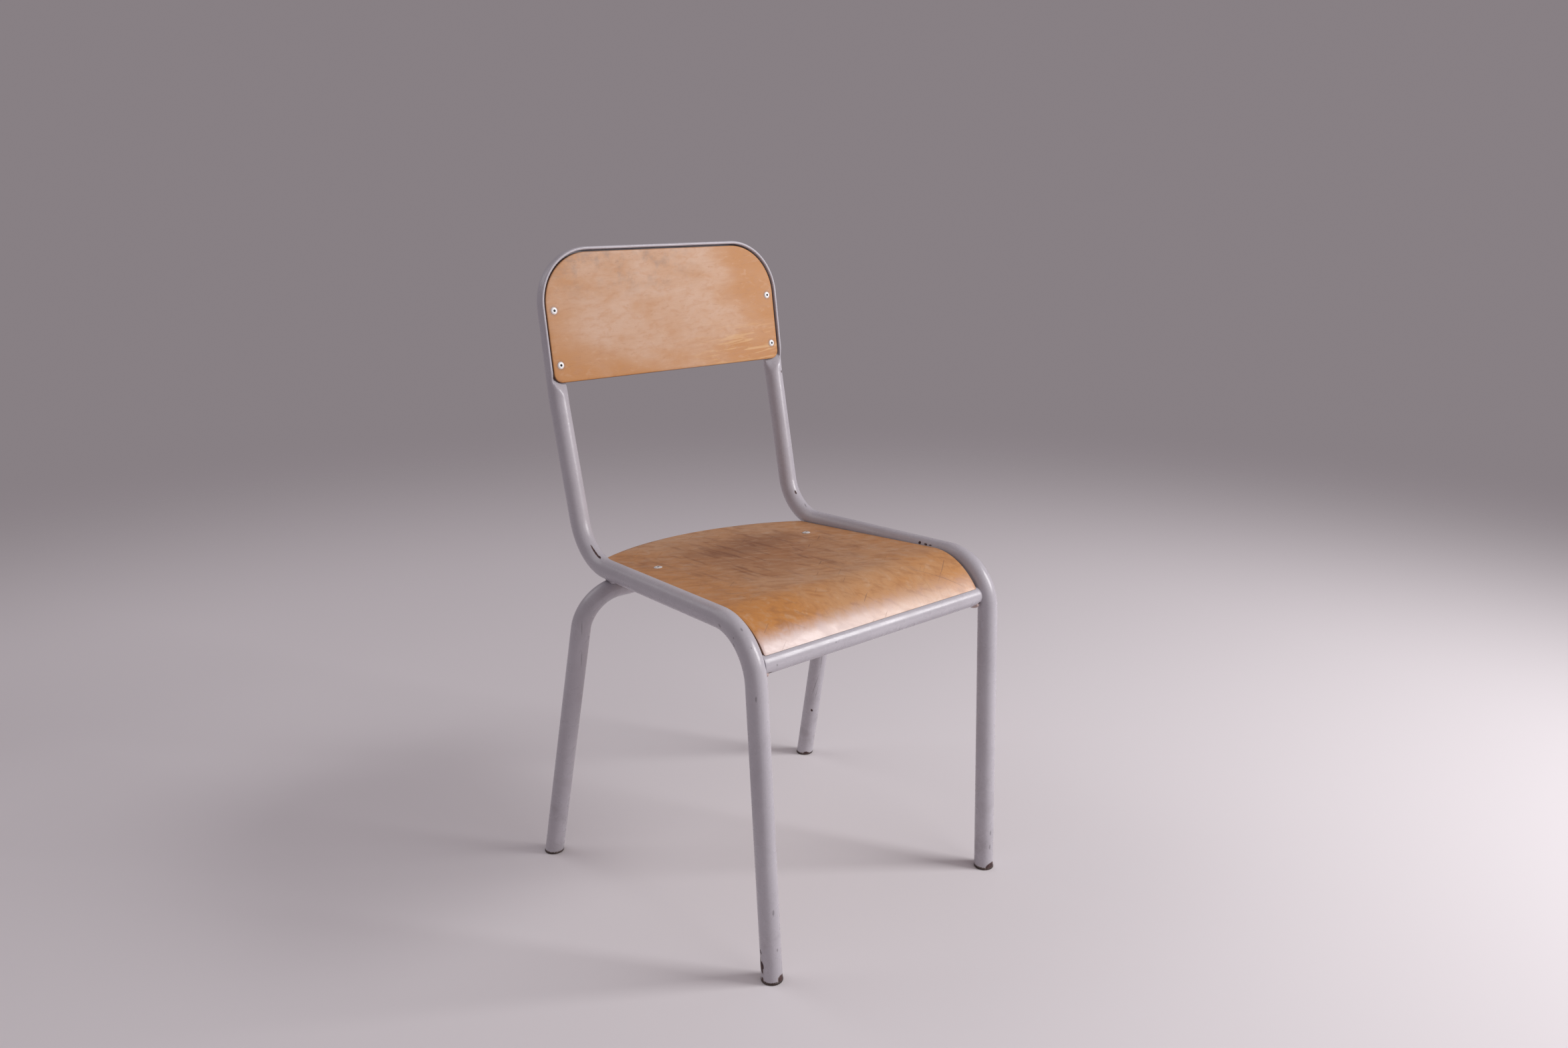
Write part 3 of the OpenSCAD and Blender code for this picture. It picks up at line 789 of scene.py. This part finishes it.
def back_wood(name):
    """Pale rotary veneer under a thin satin varnish, with its grain across: soft pinkish
    and orange clouds, short darker dashes, grey smudges near the top, and painted shade
    in a soft dark ring round each rivet head."""
    wood = Finish(name)
    x, h = wood.part("X", "UV"), wood.part("Y", "UV")
    cloud = wood.noise(wood.place((10, 20, 1), source="UV"), 1, 4, 0.55, 0.5)
    mottle = wood.noise(wood.place((58, 130, 1), turn=(0, 0, 0.06), source="UV"), 1, 5, 0.62, 0.5)
    grain = wood.noise(wood.place((14, 190, 1), turn=(0, 0, 0.07), source="UV"), 1, 4, 0.6, 0.6)
    pores = wood.noise(wood.place((110, 900, 1), source="UV"), 1, 2, 0.6)
    warm = wood.plus(wood.step(x, 0.03, 0.175, 0, 0.75), wood.step(x, -0.11, -0.18, 0, 0.45))
    warm = wood.plus(warm, wood.step(h, 0.06, 0.012, 0, 0.55))
    warm = wood.plus(warm, wood.about(cloud, 0.42, 2.2))
    colour = wood.mix(wood.step(warm, -0.2, 1.1), (0.615, 0.388, 0.256), (0.548, 0.252, 0.085))
    colour = wood.mix(wood.step(mottle, 0.48, 0.68, 0, 0.5), colour, (0.530, 0.258, 0.115))
    colour = wood.mix(wood.step(mottle, 0.32, 0.46, 0.25, 0), colour, (0.665, 0.435, 0.290))
    colour = wood.mix(wood.step(grain, 0.56, 0.70, 0, 0.22), colour, (0.500, 0.245, 0.120))
    corner = wood.times(wood.step(x, 0.0, 0.12), wood.step(h, 0.085, 0.03))
    golden = wood.times(wood.step(grain, 0.47, 0.38), wood.times(corner, 0.6))
    colour = wood.mix(golden, colour, (0.74, 0.46, 0.22))
    dash = wood.noise(wood.place((90, 330, 1), source="UV"), 1, 3, 0.5, 0.8)
    colour = wood.mix(wood.step(dash, 0.61, 0.74, 0, 0.4), colour, (0.42, 0.19, 0.08))
    colour = wood.mix(wood.step(pores, 0.55, 0.75, 0, 0.14), colour, (0.42, 0.21, 0.11))
    smudge = wood.step(wood.noise(wood.place(source="UV"), 30, 5, 0.65), 0.45, 0.64)
    smudge = wood.times(wood.step(h, 0.10, 0.165), smudge)
    smudge = wood.times(smudge, wood.step(x, 0.09, -0.03))
    colour = wood.mix(wood.times(smudge, 0.5), colour, (0.30, 0.215, 0.17))
    # Painted shade round each rivet head: the wood is darkened within 8.5 mm of the rivet's middle, most
    # under the head.
    to_low = wood.calc("ABSOLUTE", wood.minus(h, RIVET_LOW))
    to_high = wood.calc("ABSOLUTE", wood.minus(h, RIVET_HIGH))
    near = wood.calc("MINIMUM", to_low, to_high)
    off = wood.minus(wood.calc("ABSOLUTE", x), RIVET_X)
    ring = wood.calc("SQRT", wood.plus(wood.times(off, off), wood.times(near, near)))
    colour = wood.mix(wood.step(ring, 0.0085, 0.0045, 0, 0.45), colour, (0.30, 0.16, 0.10))
    layers = wood.step(wood.calc("SINE", wood.times(wood.kept("ply"), PLY_WAVES)), -0.3, 0.3)
    side = wood.mix(layers, (0.085, 0.040, 0.025), (0.175, 0.085, 0.045))
    colour = wood.mix(wood.step(wood.kept("ply"), 0.02, 0.12), colour, side)
    under = wood.step(wood.kept("ply"), 0.93, 0.99)
    raw = wood.mix(wood.step(grain, 0.35, 0.7), (0.46, 0.30, 0.19), (0.38, 0.22, 0.12))
    colour = wood.mix(under, colour, raw)
    shine = wood.step(cloud, 0.3, 0.7, 0.42, 0.52)
    bumpy = wood.bump(pores, 0.00005)
    bumpy = wood.bump(grain, 0.00012, bumpy)
    wood.use(Base_Color=colour, Roughness=shine, Normal=bumpy, Specular_IOR_Level=0.4)
    return wood.material


back = board(
    "back_board",
    soften(back_loop, 0.003, 0.002),
    lift_back,
    PANEL_T,
    PANEL_EDGE_R,
    back_wood("back_plywood"),
    rings=36,
)
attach(back, "root")
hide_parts("back_panel")

# ---- Rivets ----
# Aluminium blind rivets: a domed ring head round the broken end of the mandrel,
# and a swollen tail behind. Four bright ones hold the back, two worn ones the seat.

SEAT_RIVETS = (("left", -0.128, 0.065), ("right", 0.1205, 0.061))
SEAT_GRIP = 11.5
SEAT_HEAD_R = 5.6
BACK_GRIP = 8.6
BACK_HEAD_R = 4.7
HOLE_R = 1.5
DRAWN_HEAD_R = 4.7
RING_POINTS = 40

def turned(name, profile, middle, up, material, smooth_angle=45):
    """A turned piece: each radius and height of the profile, in millimetres, becomes a
    ring round the direction up through middle. Each ring starts toward the right."""
    across = np.array([1.0, 0.0, 0.0])
    third = np.cross(up, across)
    a = np.linspace(0, 2 * np.pi, RING_POINTS, endpoint=False)[:, None]
    circle = across * np.cos(a) + third * np.sin(a)
    profile = np.array(profile) / 1000
    grid = np.array(middle) + profile[:, :1, None] * circle[None]
    grid = grid + profile[:, 1:, None] * np.array(up, float)
    return skin(name, grid, material, smooth_angle)


def rivet_profile(grip, head_r):
    """From the mandrel in the hole, over the dome, under the head and down to the tail.
    The head is drawn DRAWN_HEAD_R in radius, and widened from its hole out to head_r."""
    mandrel = [(0.05, 0.30), (0.9, 0.26), (1.3, 0.12), (1.4, 0.1)]
    head = [
        (1.5, 0.12), (1.52, 0.85), (1.62, 1.12), (1.9, 1.27), (2.4, 1.3), (3.1, 1.17),
        (3.8, 0.88), (4.35, 0.52), (4.62, 0.26), (4.7, 0.12), (4.66, 0.02), (4.5, 0.0),
    ]
    widen = (head_r - HOLE_R) / (DRAWN_HEAD_R - HOLE_R)
    head = [(HOLE_R + (r - HOLE_R) * widen, z) for r, z in head]
    shank = [(2.55, 0.0), (2.5, -0.1), (2.5, -grip)]
    tail = [(3.3, -0.1), (3.5, -0.6), (3.5, -3.6), (3.1, -4.6), (2.4, -5.0), (0.05, -5.0)]
    return mandrel + head + shank + [(r, z - grip) for r, z in tail]


def rivet_metal(name, pale, dull, rough):
    """Aluminium, dulled in patches, with painted shade, near black, in the hole of the head."""
    metal = Finish(name)
    where = metal.place()
    colour = metal.mix(metal.step(metal.noise(where, 900, 3), 0.35, 0.65), pale, dull)
    # Painted shade: the hole of the head and the mandrel's end in it are painted near black.
    hole = metal.step(metal.kept("grime"), 0.2, 0.8)
    colour = metal.mix(hole, colour, (0.018, 0.015, 0.014))
    shine = metal.step(metal.noise(where, 1400, 2), 0.3, 0.7, rough, rough + 0.12)
    metal.use(
        Base_Color=colour,
        Roughness=shine,
        Metallic=metal.step(hole, 0, 1, 0.25, 0.0),
        Normal=metal.bump(metal.noise(where, 1500, 2), 0.00006),
    )
    return metal.material


def rivet(name, middle, up, grip, head_r, material):
    """One rivet, with the hole of its head kept at each point as grime, which the material paints as
    shade: 1 in the hole, else 0.
    """
    profile = rivet_profile(grip, head_r)
    made = turned(name, profile, middle, up, material)
    radius, height = np.array(profile).T
    # Marks the hole of the head, where the material paints shade.
    grime = np.where((radius < 1.55) & (height < 0.9) & (height > -1), 1.0, 0.0)
    layer = made.data.attributes.new("grime", "FLOAT", "POINT")
    layer.data.foreach_set("value", np.repeat(grime, RING_POINTS).astype(np.float32))
    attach(made, "root")
    return made


bright_metal = rivet_metal("bright_rivet", (0.93, 0.925, 0.92), (0.86, 0.855, 0.85), 0.45)
worn_metal = rivet_metal("worn_rivet", (0.90, 0.88, 0.865), (0.62, 0.585, 0.56), 0.36)
forward = on_back(0.0, 1.0, 0.0) - on_back(0.0, 0.0, 0.0)
for side, x in (("left", -RIVET_X), ("right", RIVET_X)):
    for level, h in (("lower", RIVET_LOW), ("upper", RIVET_HIGH)):
        middle = on_back(x, PANEL_FRONT, h)
        name = f"back_rivet_head_{level}_{side}"
        made = rivet(name, middle, forward, BACK_GRIP, BACK_HEAD_R, bright_metal)
        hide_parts(f"back_rivet_{level}_{side}")
seat_up = (0, np.sin(SEAT_SLOPE), np.cos(SEAT_SLOPE))
for side, x, y in SEAT_RIVETS:
    middle = (x, y, SEAT_TOP - y * np.tan(SEAT_SLOPE))
    made = rivet(f"seat_rivet_head_{side}", middle, seat_up, SEAT_GRIP, SEAT_HEAD_R, worn_metal)
    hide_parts(f"seat_rivet_{side}")

# ---- Seat brackets ----
# Two flat steel tabs welded on top of the rear leg frame's bar; the seat rivets
# go through their front ends.

TAB_T = 0.003
TAB_EDGE_R = 0.0004
TAB_HALF = 0.0125
TAB_REAR_Y = 0.1057


def lift_tab(x, q, depth):
    """Places on a tab, depth below the seat's under face."""
    forward, height = seat_line(q, depth + SEAT_T)
    return np.stack([x, -forward, height], -1)


q_rear = -(TAB_REAR_Y + ROLL_Y) / np.cos(SEAT_SLOPE)
for side, x, y in SEAT_RIVETS:
    q_front = 0.012 - (y + ROLL_Y) / np.cos(SEAT_SLOPE)
    left, right = x - TAB_HALF, x + TAB_HALF
    corners = np.array([(left, q_front), (right, q_front), (right, q_rear), (left, q_rear)])
    made = board(
        f"seat_tab_{side}",
        soften(corners, 0.001, 0.002),
        lift_tab,
        TAB_T,
        TAB_EDGE_R,
        bar_paint,
        rings=8,
        mend=lambda grid: clear_of_tube(grid, SHOULDER[1], SHOULDER[2], TUBE_R + 0.0001),
    )
    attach(made, "root")
    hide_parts(f"seat_bracket_{side}")

# ---- Welds ----
# Rippled beads, painted over with the frame: a short one under each end of the
# cross bar, and a collar round each place where a seat rail meets a rear shoulder.

BEAD_R = 0.0028
BEAD_X = 0.1746
BEAD_RING = 0.0126
JOINT_X = 0.1775
JOINT_Y = 0.0985
JOINT_Z = 0.4030


def bead(name, path, radius, material, closed=False):
    """A weld bead carried along a path, its radius one value or one for each point. It
    swells and shrinks in ripples, and an open bead narrows to a blunt end at both ends."""
    t = np.linspace(0, 1, len(path))
    run = np.concatenate([[0], np.cumsum(np.linalg.norm(np.diff(path, axis=0), axis=1))])
    size = radius * (1 + 0.05 * abs(np.sin(run * 1000)) + 0.06 * np.sin(run * 430 + 1))
    if not closed:
        size = size * np.sqrt(np.clip(1 - (2 * t - 1) ** 6, 0.004, 1))
    a = np.linspace(0, 2 * np.pi, 24, endpoint=False)
    shape = size[:, None, None] * np.stack([np.cos(a), np.sin(a)], 1)[None]
    ahead = unit(np.gradient(path, axis=0))
    outward = np.cross(ahead, np.array([0.3, 0.2, 1.0]))
    return skin(name, carry(path, outward, shape), material, 60)


def weld_paint(name):
    """The frame's paint over a rough bead, thin and chipped to brown in places, and worn
    pale round the ends of the two beads on the cross bar."""
    weld = Finish(name)
    where = weld.place()
    tint = weld.step(weld.noise(where, 30, 3), 0.35, 0.65)
    colour = weld.mix(tint, (0.47, 0.445, 0.48), (0.52, 0.49, 0.525))
    pits = weld.noise(where, 430, 4, 0.65)
    colour = weld.mix(weld.step(pits, 0.60, 0.70, 0, 0.8), colour, (0.13, 0.075, 0.055))
    ends = [((x, -0.204, 0.3672), (0, 0, 0), (0.006, 0.009, 0.006)) for x in (-BEAD_X, BEAD_X)]
    bare = weld.plus(inside_spots(weld, ends), weld.about(weld.noise(where, 170, 3), 0.5, 2.0))
    colour = weld.mix(weld.step(bare, 0.1, 0.3, 0, 0.85), colour, (0.50, 0.36, 0.32))
    rough = weld.step(pits, 0.4, 0.6, 0.25, 0.5)
    weld.use(Base_Color=colour, Roughness=rough, Normal=weld.bump(pits, 0.0003))
    return weld.material


painted_weld = weld_paint("weld")
arc = np.radians(np.linspace(-52, 20, 40))[:, None]
for side, sign in (("left", -1), ("right", 1)):
    bead_y = BAR_Y + BEAD_RING * np.sin(arc)
    bead_z = BAR_Z - BEAD_RING * np.cos(arc)
    path = np.hstack([np.full_like(arc, sign * BEAD_X), bead_y, bead_z])
    made = bead(f"bar_weld_bead_{side}", path, BEAD_R, painted_weld)
    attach(made, "root")
    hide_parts(f"bar_weld_{side}")
round_joint = np.linspace(0, 2 * np.pi, 90)[:, None]
for side, sign in (("left", -1), ("right", 1)):
    dx = 0.0058 * np.cos(round_joint)
    dy = 0.0072 * np.sin(round_joint)
    joint_z = JOINT_Z + (dx**2 - dy**2) / (4 * TUBE_R)
    path = np.hstack([sign * JOINT_X + dx, JOINT_Y + dy, joint_z])
    toward = np.cos(round_joint[:, 0] + np.radians(90 + 45 * sign))
    thick = 0.0006 + 0.0020 * smooth(toward, -0.5, 0.5)
    made = bead(f"rail_weld_bead_{side}", path, thick, painted_weld, closed=True)
    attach(made, "root")
    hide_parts(f"rail_weld_{side}")

# ---- Foot glides ----
# Moulded dark plugs pushed into the ends of the four legs, with a thin rim that
# stands on the floor, scuffed and dusty.


def glide_plastic(name):
    """Brown-black plastic in two shades, with dust on it in patches."""
    plastic = Finish(name)
    where = plastic.place()
    shade = plastic.step(plastic.noise(where, 150, 4), 0.35, 0.65)
    colour = plastic.mix(shade, (0.022, 0.015, 0.013), (0.060, 0.038, 0.030))
    dust = plastic.times(plastic.step(plastic.noise(where, 420, 4, 0.65), 0.5, 0.68), 0.5)
    colour = plastic.mix(dust, colour, (0.22, 0.17, 0.15))
    rough = plastic.step(dust, 0, 0.4, 0.38, 0.7)
    bumpy = plastic.bump(plastic.noise(where, 600, 3), 0.0002)
    plastic.use(Base_Color=colour, Roughness=rough, Normal=bumpy)
    return plastic.material


glide_rim = [
    (0.05, 0.15), (6, 0.15), (10.5, 0.1), (12.0, 0.0), (12.6, 0.12), (12.95, 0.5),
    (13.0, 0.95), (13.0, 1.7), (12.9, 2.2), (12.6, 2.45), (12.2, 2.5), (11.0, 2.5),
]
glide_plug = [(10.9, 2.7), (10.9, 13.5), (10.5, 14.0), (8.5, 14.0), (0.05, 14.0)]
dark_plastic = glide_plastic("foot_glide")
for side, sign in (("left", -1), ("right", 1)):
    for end, foot, above in (("front", FRONT_FOOT, FRONT_BEND), ("rear", REAR_FOOT, SHOULDER)):
        rise = ((above[0] - foot[0]) * sign / above[2], (above[1] - foot[1]) / above[2])
        middle = (sign * foot[0], foot[1], 0)
        profile = glide_rim + glide_plug
        made = turned(f"glide_{end}_{side}", profile, middle, (0, 0, 1), dark_plastic, 50)
        # Each plug leans with its leg: a point moves across by its height times the lean.
        co = np.zeros(len(made.data.vertices) * 3, np.float32)
        made.data.vertices.foreach_get("co", co)
        co = co.reshape(-1, 3)
        co[:, :2] += co[:, 2:] * np.array(rise)
        made.data.vertices.foreach_set("co", co.ravel())
        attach(made, "root")
        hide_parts(f"foot_glide_{end}_{side}")
